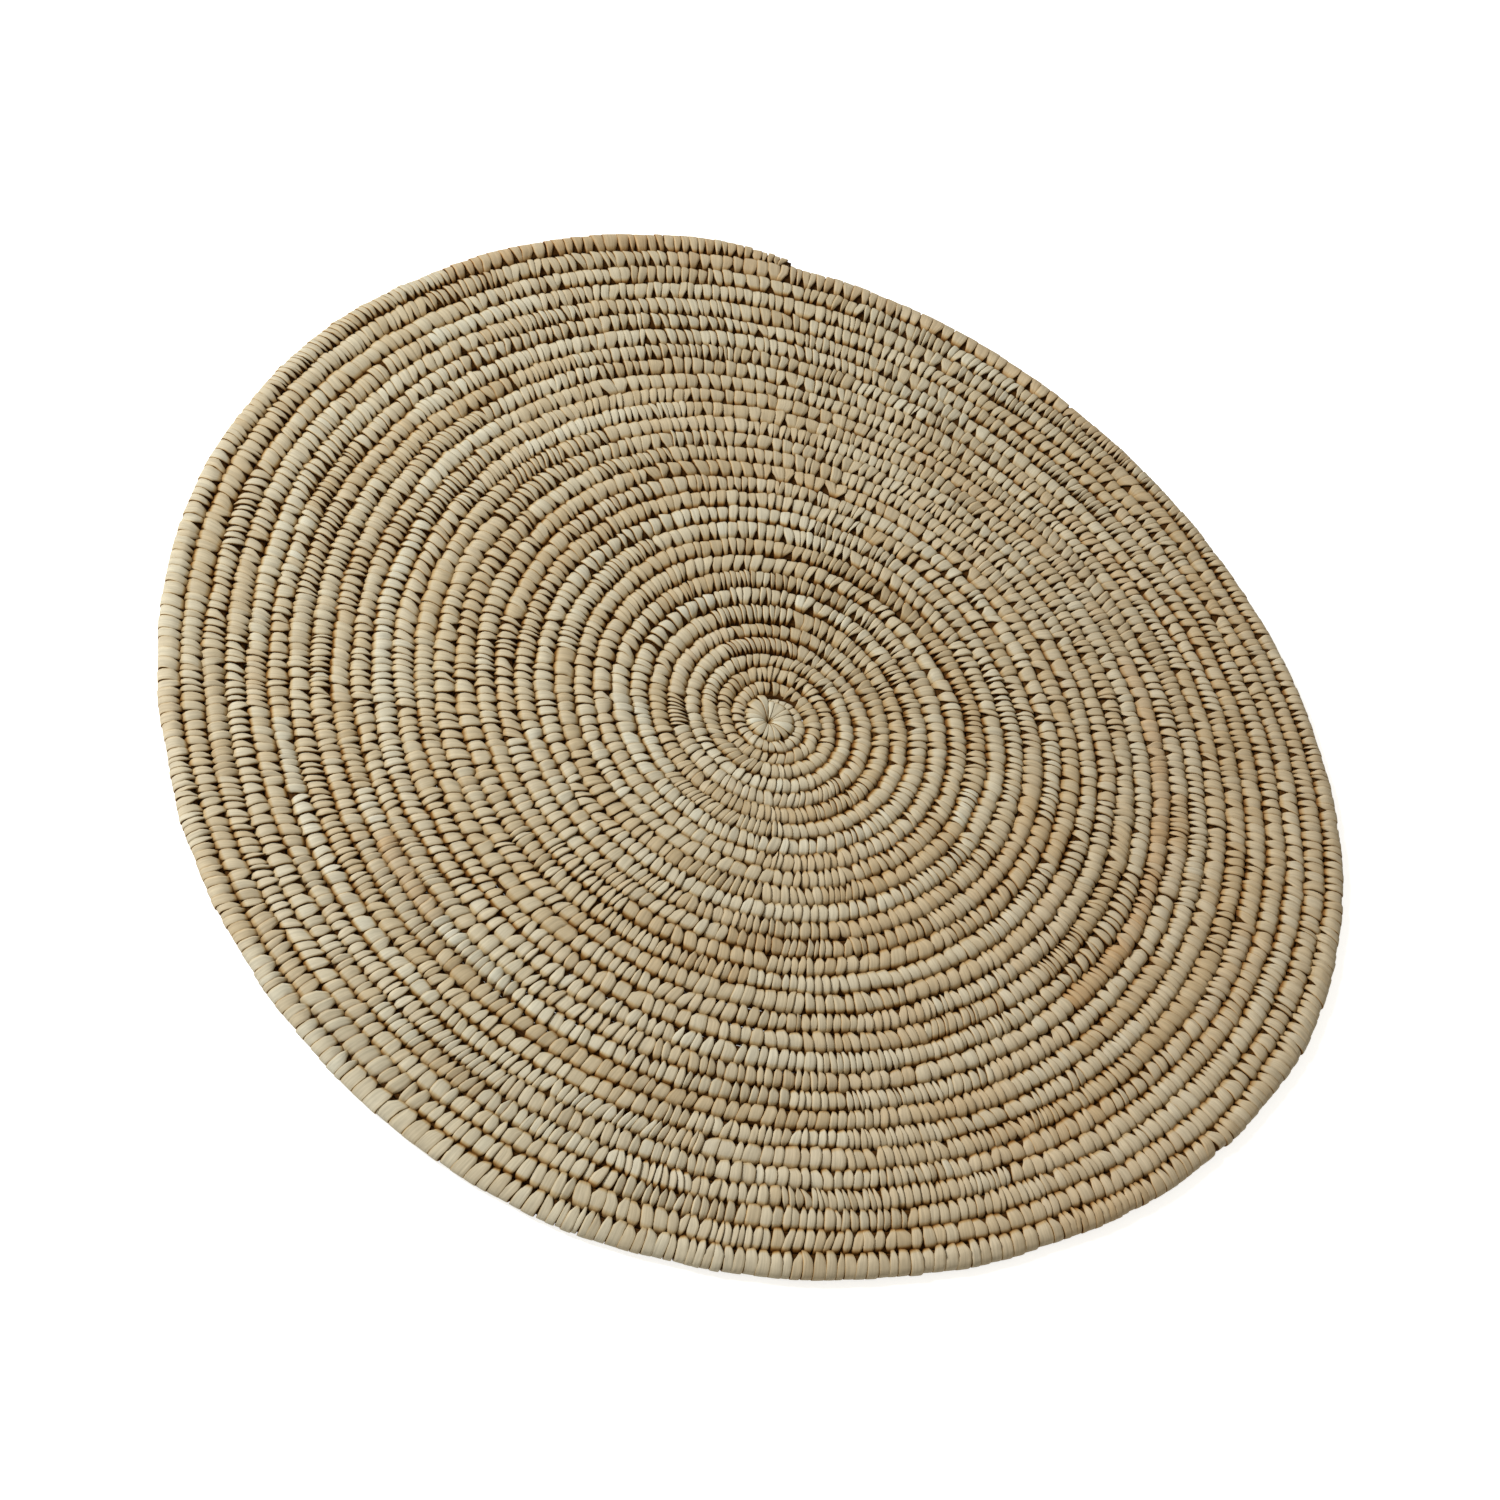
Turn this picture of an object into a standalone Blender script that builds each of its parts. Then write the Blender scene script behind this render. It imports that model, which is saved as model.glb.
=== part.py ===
"""Palm leaf bread tray: a bundle wound in a flat spiral, wrapped row by row with split palm leaf.

Metres, +Z up. The origin is the middle of the centre knot's underside, on the table.
Seen from above the coil winds outward clockwise, and turn 0 lies towards +X.
Each row's wrapping is many identical leaf strips, kept as one sleeve to a round. The
foundation bundle runs through all the sleeves in one unbroken length.
"""

import math

import bmesh
import bpy
from mathutils import Vector

TRAY_NAME = "palm_leaf_bread_tray"

# Coil, counted in turns from the knot outward
ROUNDS = 30                     # full rounds of wrapped coil outside the knot
START_TURN_share = 0.65         # of the first turn, where the coil leaves the knot
KNOT_RADIUS = 0.0083            # edge of the knot at turn 0
PITCH_AT_KNOT = 0.0055          # row to row, at turn 0
PITCH_INNER = 0.0074            # at INNER_TURN
PITCH_OUTER = 0.0078            # at OUTER_TURN
PITCH_AT_RIM = 0.0085           # at RIM_TURN, where the rows were sewn more loosely
INNER_TURN = 6
OUTER_TURN = 24
RIM_TURN = 31
STATIONS_PER_TURN = 21          # straight chords in one turn, alike in every row

# Row section
ROW_HEIGHT = 0.0068             # underside to top of one wrapped row
ROW_FLAT_share = 0.5            # of a row's width, flat on its top and its underside
LEAF_WALL = 0.0006              # two leaf strips lying over each other
CORE_CLEARANCE = 0.0004         # between the bundle and the wrapping, corner to corner
ROW_GAP = 0.0004                # between the wrappings of neighbouring rows
SEAM_GAP = 0.0003               # between the sleeves of one round and the next

# Lie of the tray: a low swell round the middle, level again out to the rim
SWELL_RISE = 0.006
LEVEL_RADIUS_share = 0.8        # of the rim's radius, where the swell ends

# Hand-made outline: how far the rim stands out, and towards which bearing from +X
OVAL_RISE = 0.003
OVAL_BEARING = math.radians(9)
LOBE_RISE = 0.0024
LOBE_BEARING = math.radians(16)
BODY_POWER = 2                  # how fast these die away towards the knot

# The last rows were sewn tighter on some sides than the rows inside them
RIM_SHIFT_RISE = 0.0024
RIM_SHIFT_BEARING = math.radians(-100)
RIM_OVAL_RISE = 0.0029
RIM_OVAL_BEARING = math.radians(-60)
RIM_LOBE_RISE = 0.0016
RIM_LOBE_BEARING = math.radians(-7)
RIM_CORNER_RISE = 0.002
RIM_CORNER_BEARING = math.radians(3)
RIM_POWER = 8

# Centre knot
KNOT_FOLDS = 14                 # folds of leaf that gather in the middle
KNOT_FOLD_DEPTH_share = 0.06    # of the knot's radius, drawn in between two folds
KNOT_DIMPLE = 0.0022            # how far the middle sinks below the top

# Tail of the coil
TAIL_LENGTH = 0.064             # the last leaf strip's wrapping, along the coil
TAIL_TIP_WIDTH_share = 0.56     # of the row's width, at the tip
TAIL_TIP_HEIGHT_share = 0.68    # of the row's height, at the tip
TAIL_TAPER_POWER = 2            # how late along the tail it narrows
TAIL_END_WALL = 0.0012          # leaf folded over the bundle's end

# Colours, linear RGB, and roughness
LEAF_COLOURS = ((0.40, 0.31, 0.19), (0.45, 0.36, 0.23), (0.36, 0.27, 0.16))
BUNDLE_COLOUR = (0.20, 0.12, 0.055)
LEAF_ROUGHNESS = 0.55
BUNDLE_ROUGHNESS = 0.85

PITCH_TURNS = (0, INNER_TURN, OUTER_TURN, RIM_TURN)
PITCHES = (PITCH_AT_KNOT, PITCH_INNER, PITCH_OUTER, PITCH_AT_RIM)

# Bulges once, twice and so on round the tray: count, rise and bearing
BODY_BULGES = ((2, OVAL_RISE, OVAL_BEARING), (3, LOBE_RISE, LOBE_BEARING))
RIM_BULGES = ((1, RIM_SHIFT_RISE, RIM_SHIFT_BEARING), (2, RIM_OVAL_RISE, RIM_OVAL_BEARING),
              (3, RIM_LOBE_RISE, RIM_LOBE_BEARING), (4, RIM_CORNER_RISE, RIM_CORNER_BEARING))


def clear_scene():
    for thing in list(bpy.data.objects):
        bpy.data.objects.remove(thing, do_unlink=True)


def tray_collection():
    found = bpy.data.collections.get(TRAY_NAME)
    if found is None:
        found = bpy.data.collections.new(TRAY_NAME)
        bpy.context.scene.collection.children.link(found)
    return found


def plain_material(name, colour, roughness):
    material = bpy.data.materials.new(name)
    material.use_nodes = True
    shader = material.node_tree.nodes["Principled BSDF"]
    shader.inputs["Base Color"].default_value = (*colour, 1.0)
    shader.inputs["Roughness"].default_value = roughness
    shader.inputs["Metallic"].default_value = 0.0
    return material


def add_object(name, data, material):
    thing = bpy.data.objects.new(name, data)
    data.materials.append(material)
    tray_collection().objects.link(thing)
    return thing


def row_edge(turn):
    """Radius of the coil's outer edge after so many turns: the pitch, summed span by span."""
    radius = KNOT_RADIUS
    for span in range(len(PITCHES) - 1):
        start, end = PITCH_TURNS[span], PITCH_TURNS[span + 1]
        done = min(max(turn - start, 0), end - start)
        growth = (PITCHES[span + 1] - PITCHES[span]) / (end - start)
        radius += done * (PITCHES[span] + growth * done / 2)
    return radius


RIM_RADIUS = row_edge(RIM_TURN)


def row_reach(turn):
    """Inner and outer radius of the row at this turn, before the gap to its neighbours."""
    return row_edge(max(turn - 1, 0)), row_edge(turn)


def lie_height(radius):
    """Height of the rows' underside above the table: a low swell that ends short of the rim."""
    along = min(radius / (LEVEL_RADIUS_share * RIM_RADIUS), 1)
    return SWELL_RISE * math.sin(math.pi * along) ** 2


def bulge(bulges, bearing):
    return sum(rise * math.cos(count * (bearing - towards)) for count, rise, towards in bulges)


def plan_point(radius, turn, height):
    """Point at this radius and turn, pushed out where the hand-made outline bulges."""
    bearing = -2 * math.pi * turn
    rimward = radius / RIM_RADIUS
    reach = radius + bulge(BODY_BULGES, bearing) * rimward ** BODY_POWER
    reach += bulge(RIM_BULGES, bearing) * rimward ** RIM_POWER
    return Vector((reach * math.cos(bearing), reach * math.sin(bearing), height))


def row_radius(turn):
    return sum(row_reach(turn)) / 2


def row_width(turn):
    inner, outer = row_reach(turn)
    return outer - inner - ROW_GAP


def row_height(turn):
    return min(ROW_HEIGHT, row_width(turn))


def bore_size(turn):
    """Half width and half height of the hole through the wrapping."""
    return row_width(turn) / 2 - LEAF_WALL, row_height(turn) / 2 - LEAF_WALL


def row_section(turn, corners):
    """Corners given as outward and upward from the middle of the row's underside."""
    radius = row_radius(turn)
    low = lie_height(radius)
    return [plan_point(radius + across, turn, low + up) for across, up in corners]


def leaf_section(turn):
    """Six corners of the wrapping, flat above and below, pointed towards the neighbours."""
    half, height = row_width(turn) / 2, row_height(turn)
    flat = ROW_FLAT_share * half
    return row_section(turn, ((half, height / 2), (flat, height), (-flat, height),
                              (-half, height / 2), (-flat, 0), (flat, 0)))


def bore_section(turn):
    """Four corners of the hole that the foundation bundle runs through."""
    half_width, half_height = bore_size(turn)
    middle = row_height(turn) / 2
    return row_section(turn, ((half_width, middle), (0, middle + half_height),
                              (-half_width, middle), (0, middle - half_height)))


def on_chord(shape, turn):
    """A section at any turn, on the straight chord between its two stations."""
    station = math.floor(turn * STATIONS_PER_TURN)
    share = turn * STATIONS_PER_TURN - station
    before = shape(station / STATIONS_PER_TURN)
    after = shape((station + 1) / STATIONS_PER_TURN)
    return [a.lerp(b, share) for a, b in zip(before, after)]


def station_turns(start, end):
    """The turns at which a piece has a section: its two ends and every station between."""
    first = math.floor(start * STATIONS_PER_TURN) + 1
    last = math.ceil(end * STATIONS_PER_TURN) - 1
    between = [station / STATIONS_PER_TURN for station in range(first, last + 1)]
    return [start, *between, end]


def turns_for(length, turn):
    """The share of a turn that this length covers along the coil."""
    return length / (2 * math.pi * row_radius(turn))


def ring_of_faces(bm, before, after):
    """Quads from one closed loop of vertices to the next, which has as many."""
    for index in range(len(before)):
        following = (index + 1) % len(before)
        bm.faces.new((before[index], before[following], after[following], after[index]))


def end_face(bm, outside, inside):
    """Flat end between a six-cornered outline and a four-cornered hole.

    Corners 0 and 3 outside face corners 0 and 2 of the hole, and the flats face 1 and 3.
    """
    for out_corners, in_corners in (((0, 1), (0, 1)), ((1, 2), (1,)), ((2, 3), (1, 2)),
                                    ((3, 4), (2, 3)), ((4, 5), (3,)), ((5, 0), (3, 0))):
        loop = [outside[corner] for corner in out_corners]
        loop += [inside[corner] for corner in reversed(in_corners)]
        bm.faces.new(loop)


def finish_mesh(name, bm, material):
    bmesh.ops.triangulate(bm, faces=bm.faces[:])
    bmesh.ops.recalc_face_normals(bm, faces=bm.faces[:])
    mesh = bpy.data.meshes.new(name)
    bm.to_mesh(mesh)
    bm.free()
    return add_object(name, mesh, material)


def make_sleeve(name, start, end, material):
    """Leaf wrapping of one round: a loft between unlike sections, with the bundle's bore."""
    bm = bmesh.new()
    turns = station_turns(start, end)
    outside = [[bm.verts.new(p) for p in on_chord(leaf_section, turn)] for turn in turns]
    inside = [[bm.verts.new(p) for p in on_chord(bore_section, turn)] for turn in turns]
    for index in range(len(turns) - 1):
        ring_of_faces(bm, outside[index], outside[index + 1])
        ring_of_faces(bm, inside[index + 1], inside[index])
    end_face(bm, outside[0], inside[0])
    end_face(bm, outside[-1], inside[-1])
    return finish_mesh(name, bm, material)


def tail_outline(turn, start, end):
    """The tail's section here, drawn in towards its inner, lower corner."""
    points = on_chord(leaf_section, turn)
    share = ((turn - start) / (end - start)) ** TAIL_TAPER_POWER
    inner = min(Vector((p.x, p.y)).length for p in points)
    low = min(p.z for p in points)
    width_left = 1 - share * (1 - TAIL_TIP_WIDTH_share)
    height_left = 1 - share * (1 - TAIL_TIP_HEIGHT_share)
    drawn = []
    for point in points:
        out = Vector((point.x, point.y))
        out = out.normalized() * (inner + (out.length - inner) * width_left)
        drawn.append(Vector((out.x, out.y, low + (point.z - low) * height_left)))
    return drawn


def tail_bore(turn, start, end):
    """Hole in the tail's wrapping: the row's own bore, a wall inside the tapered outline."""
    outline = tail_outline(turn, start, end)
    middle = sum(outline, Vector()) / len(outline)
    whole = on_chord(leaf_section, turn)
    whole_middle = sum(whole, Vector()) / len(whole)
    left = (outline[0] - outline[3]).length / (whole[0] - whole[3]).length
    return [middle + (p - whole_middle) * left for p in on_chord(bore_section, turn)]


def make_tail_binding(name, start, end, material):
    """Last strip's wrapping: it narrows to the coil's end and folds over it."""
    bm = bmesh.new()
    turns = station_turns(start, end)
    bore_turns = turns[:-1] + [end - turns_for(TAIL_END_WALL, end)]
    outside = [[bm.verts.new(p) for p in tail_outline(turn, start, end)] for turn in turns]
    inside = [[bm.verts.new(p) for p in tail_bore(turn, start, end)] for turn in bore_turns]
    for index in range(len(turns) - 1):
        ring_of_faces(bm, outside[index], outside[index + 1])
        ring_of_faces(bm, inside[index + 1], inside[index])
    end_face(bm, outside[0], inside[0])
    bm.faces.new(outside[-1])
    bm.faces.new(inside[-1])
    return finish_mesh(name, bm, material)


def bundle_points(start, end, tail_start):
    """Centre and radius at every station, from the hole that the bundle runs through."""
    points = []
    for turn in station_turns(start, tail_start) + station_turns(tail_start, end)[1:]:
        if turn > tail_start:
            hole = tail_bore(turn, tail_start, end)
        else:
            hole = on_chord(bore_section, turn)
        centre = sum(hole, Vector()) / len(hole)
        least = min((hole[0] - hole[2]).length, (hole[1] - hole[3]).length)
        points.append((centre, least / 2 - CORE_CLEARANCE))
    return points


def make_bundle(name, points, material):
    """Foundation: one unbroken four-sided tube along the whole spiral."""
    curve = bpy.data.curves.new(name, "CURVE")
    curve.dimensions = "3D"
    curve.twist_mode = "Z_UP"
    curve.bevel_depth = max(radius for _, radius in points)
    curve.bevel_resolution = 0
    curve.use_fill_caps = True
    spline = curve.splines.new("POLY")
    spline.points.add(len(points) - 1)
    for place, (centre, radius) in zip(spline.points, points):
        place.co = (*centre, 1.0)
        place.radius = radius / curve.bevel_depth
    return add_object(name, curve, material)


def least_gap(points):
    """Least gap of the bundle to itself: from each station to the chords one row further out."""
    least = math.inf
    for index, (centre, radius) in enumerate(points):
        first = index + STATIONS_PER_TURN // 2
        for other in range(first, min(first + STATIONS_PER_TURN, len(points) - 1)):
            start, end = points[other][0], points[other + 1][0]
            chord = end - start
            share = (centre - start).dot(chord) / chord.length_squared
            nearest = start + chord * min(max(share, 0), 1)
            least = min(least, (centre - nearest).length - radius - points[other][1])
    return least


def knot_edge(turn):
    """Edge of the knot: a snail shape, whose shoulder fills the first row's place."""
    phase = turn % 1
    reach = row_edge(phase) if phase < START_TURN_share else KNOT_RADIUS
    return reach - ROW_GAP / 2


def make_centre_knot(name, material):
    """Start of the coil: leaf gathered in folds round a dimple, with a flat underside.

    Each ring is a share of the knot's reach and a height. A fold's valley is drawn in.
    """
    dimple_floor = ROW_HEIGHT - KNOT_DIMPLE
    rings = ((0.86, 0, 0), (1, 0.28 * ROW_HEIGHT, 1), (1, 0.72 * ROW_HEIGHT, 1),
             (0.78, ROW_HEIGHT, 2), (0.3, (ROW_HEIGHT + dimple_floor) / 2, 0))
    bm = bmesh.new()
    sides = 2 * KNOT_FOLDS
    loops = []
    for reach_share, height, valley in rings:
        loop = []
        for side in range(sides):
            turn = START_TURN_share + side / sides
            drawn_in = 1 - KNOT_FOLD_DEPTH_share * valley * (side % 2)
            radius = knot_edge(turn) * reach_share * drawn_in
            loop.append(bm.verts.new(plan_point(radius, turn, height)))
        loops.append(loop)
    for index in range(len(loops) - 1):
        ring_of_faces(bm, loops[index], loops[index + 1])
    bm.faces.new(loops[0])
    middle = bm.verts.new(Vector((0, 0, dimple_floor)))
    for side in range(sides):
        bm.faces.new((loops[-1][side], loops[-1][(side + 1) % sides], middle))
    return finish_mesh(name, bm, material)


def build_tray():
    clear_scene()
    bundle_material = plain_material("palm_fibre_bundle", BUNDLE_COLOUR, BUNDLE_ROUGHNESS)
    first = START_TURN_share + turns_for(ROW_GAP, START_TURN_share)
    tail_start = START_TURN_share + ROUNDS
    tail_end = tail_start + turns_for(TAIL_LENGTH, tail_start)
    bundle_end = tail_end - turns_for(TAIL_END_WALL + ROW_GAP, tail_end)

    for number in range(1, ROUNDS + 1):
        name = f"leaf_wrap_round_{number:02d}"
        start = first if number == 1 else START_TURN_share + number - 1
        end = START_TURN_share + number
        end -= turns_for(SEAM_GAP, end)
        colour = LEAF_COLOURS[number % len(LEAF_COLOURS)]
        make_sleeve(name, start, end, plain_material(name, colour, LEAF_ROUGHNESS))
    tail_material = plain_material("tail_binding", LEAF_COLOURS[0], LEAF_ROUGHNESS)
    make_tail_binding("tail_binding", tail_start, tail_end, tail_material)
    knot_material = plain_material("centre_knot", LEAF_COLOURS[1], LEAF_ROUGHNESS)
    make_centre_knot("centre_knot", knot_material)

    points = bundle_points(first, bundle_end, tail_start)
    make_bundle("foundation_bundle", points, bundle_material)
    print(f"least gap of the foundation bundle to itself: {1000 * least_gap(points):.2f} mm")


build_tray()
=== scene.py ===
import math

import bpy
import numpy as np
from mathutils import Matrix, Vector, noise


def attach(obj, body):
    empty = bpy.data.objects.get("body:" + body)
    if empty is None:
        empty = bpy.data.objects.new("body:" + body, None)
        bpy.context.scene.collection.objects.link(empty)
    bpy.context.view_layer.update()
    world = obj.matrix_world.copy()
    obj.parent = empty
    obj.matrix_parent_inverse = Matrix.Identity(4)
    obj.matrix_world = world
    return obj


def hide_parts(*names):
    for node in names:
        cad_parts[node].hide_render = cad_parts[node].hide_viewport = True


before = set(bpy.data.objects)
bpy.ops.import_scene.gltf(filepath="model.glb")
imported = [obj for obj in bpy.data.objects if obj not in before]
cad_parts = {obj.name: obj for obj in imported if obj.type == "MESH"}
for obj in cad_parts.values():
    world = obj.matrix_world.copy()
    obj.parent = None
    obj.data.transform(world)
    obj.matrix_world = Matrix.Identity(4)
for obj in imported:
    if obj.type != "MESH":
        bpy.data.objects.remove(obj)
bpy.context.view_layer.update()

bl_info = {
    "name": "Palm Leaf Bread Tray",
    "version": (1, 0, 0),
    "blender": (4, 5, 0),
    "location": "View3D > Sidebar > Bread Tray",
    "description": "Sews the coiled palm leaf tray over its packed frame and sets up the studio",
    "category": "Add Mesh",
}

BODY = "root"
MM = 0.001

# Coil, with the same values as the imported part, counted in turns from the knot outward
ROUNDS = 30
START_TURN = 0.65
KNOT_RADIUS = 0.0083
PITCHES = ((0, 0.0055), (6, 0.0074), (24, 0.0078), (31, 0.0085))  # turn, row to row
RIM_TURN = PITCHES[-1][0]
ROW_HEIGHT = 0.0068
SWELL_RISE = 0.006
LEVEL_RADIUS_SHARE = 0.8
TAIL_LENGTH = 0.064
TAIL_TIP_WIDTH_SHARE = 0.56
TAIL_TIP_HEIGHT_SHARE = 0.68
TAIL_TAPER_POWER = 2
TAIL_CUT = 1.5 * MM  # of the bundle's cut end shows past the last stitch
COIL_TABLE_STEPS = 20000

# Folds of the centre knot
KNOT_FOLDS = 16
KNOT_PULL = (-0.0012, -0.0009)  # they meet that far beside the middle
KNOT_DIP = 0.0012
KNOT_TUCK = 0.001  # the folds end under the first row
TUCKED_TURNS = 0.04  # and the coil starts under the last fold
FOLD_SHARES = (0.35, 1.7)  # narrowest and widest fold, before they share one turn
FOLD_LAP = 1.04  # width of a fold by its share of the turn
FOLD_INNER_GAP, FOLD_GAP_START = 0.15, 0.3
FOLD = {  # how the folds differ, in the same way as STRIP and STITCH
    "crown": (0.15, 0.5), "outer_gap": (0.2, 0.45), "lean": (0, 0.15), "tilt": (0, 0.15),
    "proud": (0, 0.1), "tone": (0.62, 0.12), "shade_paint": (0.6, 1),
}

# Hand-made outline, as in the part: how often it bulges round the tray, how far, which way.
# The first ones die away slowly towards the knot, and the others within a few rows of the rim.
BODY_BULGES, BODY_POWER = ((2, 0.003, 9), (3, 0.0024, 16)), 2
RIM_BULGES, RIM_POWER = ((1, 0.0024, -100), (2, 0.0029, -60), (3, 0.0016, -7), (4, 0.002, 3)), 8

# How far the edge between two rows strays, over about what length, how much that changes from
# row to row, and how many turns from the knot it strays in full
EDGE_STRAY = 0.0009
EDGE_PERIOD = 0.03
EDGE_CHANGE = 0.8
EDGE_GROWTH_TURNS = 3

# How far whole rows stray sideways and up, over about what length, and the slice of noise used
SIDE_WANDER = (0.6 * MM, 0.045, 3.1)
RISE_WANDER = (0.5 * MM, 0.06, 8.7)
WANDER_GROWTH = 3  # they stray in full from a third of the radius on

# The side of the tray whose leaf is mixed yellower, how much at the rim there, how far over the
# tray that reaches, and yellowed spots all over: their strength, length and slice of noise
YELLOWER_BEARING = math.radians(-5)
YELLOWER_BLUSH = 0.24
YELLOWER_REACH = (-0.2, 1)
AGED_SPOTS = (0.5, 0.09, 5.2)

# One stitch's section across the strip: place as a share of the half width, height as a share
# of its crown, how far it is turned down inside the row, and its brown painted shade there.
ACROSS = np.array((-0.95, -1.0, -0.88, -0.45, 0.45, 0.88, 1.0, 0.95))
CROWNED = np.array((0.0, 0.0, 0.78, 1.0, 1.0, 0.78, 0.0, 0.0))
TURNED_DOWN = np.array((1.0, 0.0, 0.0, 0.0, 0.0, 0.0, 0.0, 1.0))
SHADE_ACROSS = np.array((1.0, 0.55, 0.06, 0.0, 0.0, 0.06, 0.55, 1.0))
EDGE_DEPTH = 0.9 * MM
BODY_DEPTH = 0.42 * MM  # the strip's own thickness and crown, inside the row's outline

# One stitch's way round the coil
AROUND = 20  # places
SQUARENESS = 0.96  # 1 gives a round row, less a squarer one
INNER_GAP_POWER, OUTER_GAP_POWER = 1.3, 1.5  # more makes it narrow later and faster
TOP_CROWN, SIDE_CROWN, CROWN_POWER = 0.75, 0.5, 1.5  # on top, and what the sides add
DIVE_REACH = (0.45, 1.0)  # it dives from the first of these shares inwards to the second
SHADE_REACH = (0.58, 1.0)  # and takes brown painted shade on both sides from the first share to the second
OUTER_SHADE = 0.8  # painted shade on the outer side, as a share of the inner side's
BARE_SMOOTHING, BARE_REACH = 0.75, 0.3  # the rim's outer side is smoother, from this share out
BARE_GAP_LOSS = 0.88  # and its stitches stay broad there
LEAST_RADIUS = 0.1 * MM
TABLE_CLEARANCE = 0.02 * MM

# The leaf's pattern on a stitch, in mm, and the stitch's patch of the baked picture, in shares
PATTERN_ROUND = 24  # about the way round a row
PATTERN_REACH = 900  # two stitches show places of the leaf up to that far apart
PATTERN_CLOSING = 1.35  # where it ends under the strip, as a share of the strip's width
PATCH_SHAPE = 4.6  # height by width
PATCH_PLACES = np.array((0, 0.06, 0.16, 0.36, 0.62, 0.82, 0.9, 0.95, 0.98))  # of the section
PATCH_MARGIN = 0.01

# Grain of the patterns across and along a strip, in mm. The leaf's ribs are 0.35 mm apart and
# are drawn coarser to show; the mottling is in its dried skin; stalks make up the bundle.
RIB_SIZE = (0.8, 20)
MOTTLE_SIZE = (20 / 9, 5)  # about 2.2 by 5
STALK_SIZE = (0.625, 20)

# How hand-sewn work differs. A pair is the least and most of an even draw, or the middle and
# spread of a normal one, as shares of the usual, in steps of tone, or in mm.
NEW_LEAF_CHANCE = 0.25  # for a strip to come from the next leaf of the bunch
FLAT_CHANCE = 0.03
FLAT_CROWN, FLAT_GAPS = 0.7, 0.4  # a flat strip's, as shares of the usual
WIDE_SPACE_CHANCE = 0.06
SHARED_HOLE_CHANCE, SHARED_HOLE_PULL = 0.16, 0.24  # pull as a share of the stitch's width
FIRST_TONE = 0.55
FINE_LENGTHS = (0.35, 2.6)  # strips grow from finer to the usual within these metres of coil
FINE = {"width": (0.8, 0.2), "crown": (0.6, 0.4), "gaps": (0.6, 0.4), "dive": (0.75, 0.25),
        "blush": (0.4, 0.6)}  # share of the usual at the knot, and what it gains
STRIP_STITCHES = (6, 17)  # the second is one more than the most
# Each soil entry scales the brown painted shade of a stitch's sides, edges and grooves
STRIP = {
    "leaf_tone": (0.52, 0.08), "leaf_blush": (-0.2, 0.28), "width": (0, 0.18),
    "tone": (0, 0.07), "blush": (0, 0.05), "lean": (0, 0.42), "shade_paint": (0.4, 1.1),
    "tilt": (-0.3, 0.8), "crown": (0.75, 1.3), "space": (0, 0.3), "wide_space": (0.4, 0.9),
}
STITCH = {
    "pass": (1, 0.18), "skew": (0, 0.3), "width": (0.94, 1.08), "crown": (0.6, 1.5),
    "inner_gap": (0.65, 1.45), "outer_gap": (0.4, 1.6), "gap_start": (0, 0.5),
    "heel_start": (0.4, 0.85), "lean": (0, 0.25), "proud": (0, 0.12), "sway": (0, 0.17),
    "shade_paint": (0.8, 1.2), "dive": (0.65, 1.2), "tone": (0, 0.06), "blush": (0.5, 1.2),
}
TILT_SPREAD = 0.6  # of a stitch about its strip's tilt

# No strip or stitch goes past these
STRIP_WIDTHS = (0.7, 1.4)
PASS_WIDTHS = (0.55, 1.5)
TILTS = (-1.6, 1.6)
MOST_BLUSH = 0.5
MOST_INNER_GAP, MOST_OUTER_GAP = 0.85, 0.8

# Fibre bundle: where it is held back from the rim's bare outer side and where it reaches in
BUNDLE_SIDES = 10
BUNDLE_GIRTH = 18  # mm
BUNDLE_START, BUNDLE_END = 0.001, 0.0006  # from the coil's start and end
BARE_INSET = 0.9 * MM
TUCKED_REACH, TUCKED_END_TURN = 1.6 * MM, START_TURN + 1.15

# Camera, from the spiral's grooves in the photograph: an ellipse with a drift of its centre
CAMERA_PLACE = Vector((0, -0.8856, 1.1637))
CAMERA_AIM = Vector((-0.0023, -0.0178, 0.0054))
CAMERA_ROLL = math.radians(27.5)
CAMERA_LENS, CAMERA_SENSOR = 91.4, 36  # mm, square image

# Studio
LAMP_PLACE = Vector((-1.87, -0.25, 1.62))
LAMP_SIZE = 0.8
FLOOR_SIZE = 12
PAPER_GLOW = 0.72  # what the white paper adds to its own light where it is seen
PAPER_COLOUR = "#e9e9e9"
SKY_TINT = "#fff6e1"


def row_edge(turn):
    """Radius of the coil's outer edge after so many turns: the pitch, summed span by span."""
    turn = np.asarray(turn, float)
    radius = np.full_like(turn, KNOT_RADIUS)
    for (start, pitch), (end, next_pitch) in zip(PITCHES, PITCHES[1:]):
        done = np.clip(turn - start, 0, end - start)
        growth = (next_pitch - pitch) / (end - start)
        radius += done * (pitch + growth * done / 2)
    return radius


def uneven_edge(turn):
    """The same edge as it was sewn, so that two rows that touch share it and differ in width."""
    edge = row_edge(turn)
    bearing = 2 * math.pi * turn
    places = np.stack((edge * np.cos(bearing), edge * np.sin(bearing)), -1) / EDGE_PERIOD
    stray = [noise.noise(Vector((x, y, EDGE_CHANGE * t))) for (x, y), t in zip(places, turn)]
    return edge + EDGE_STRAY * np.clip(turn / EDGE_GROWTH_TURNS, 0, 1) * np.array(stray)


RIM_RADIUS = float(row_edge(RIM_TURN))
TAIL_START = START_TURN + ROUNDS
TAIL_TURN_LENGTH = math.pi * float(row_edge(TAIL_START) + row_edge(TAIL_START - 1))
TAIL_END = TAIL_START + TAIL_LENGTH / TAIL_TURN_LENGTH


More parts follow.
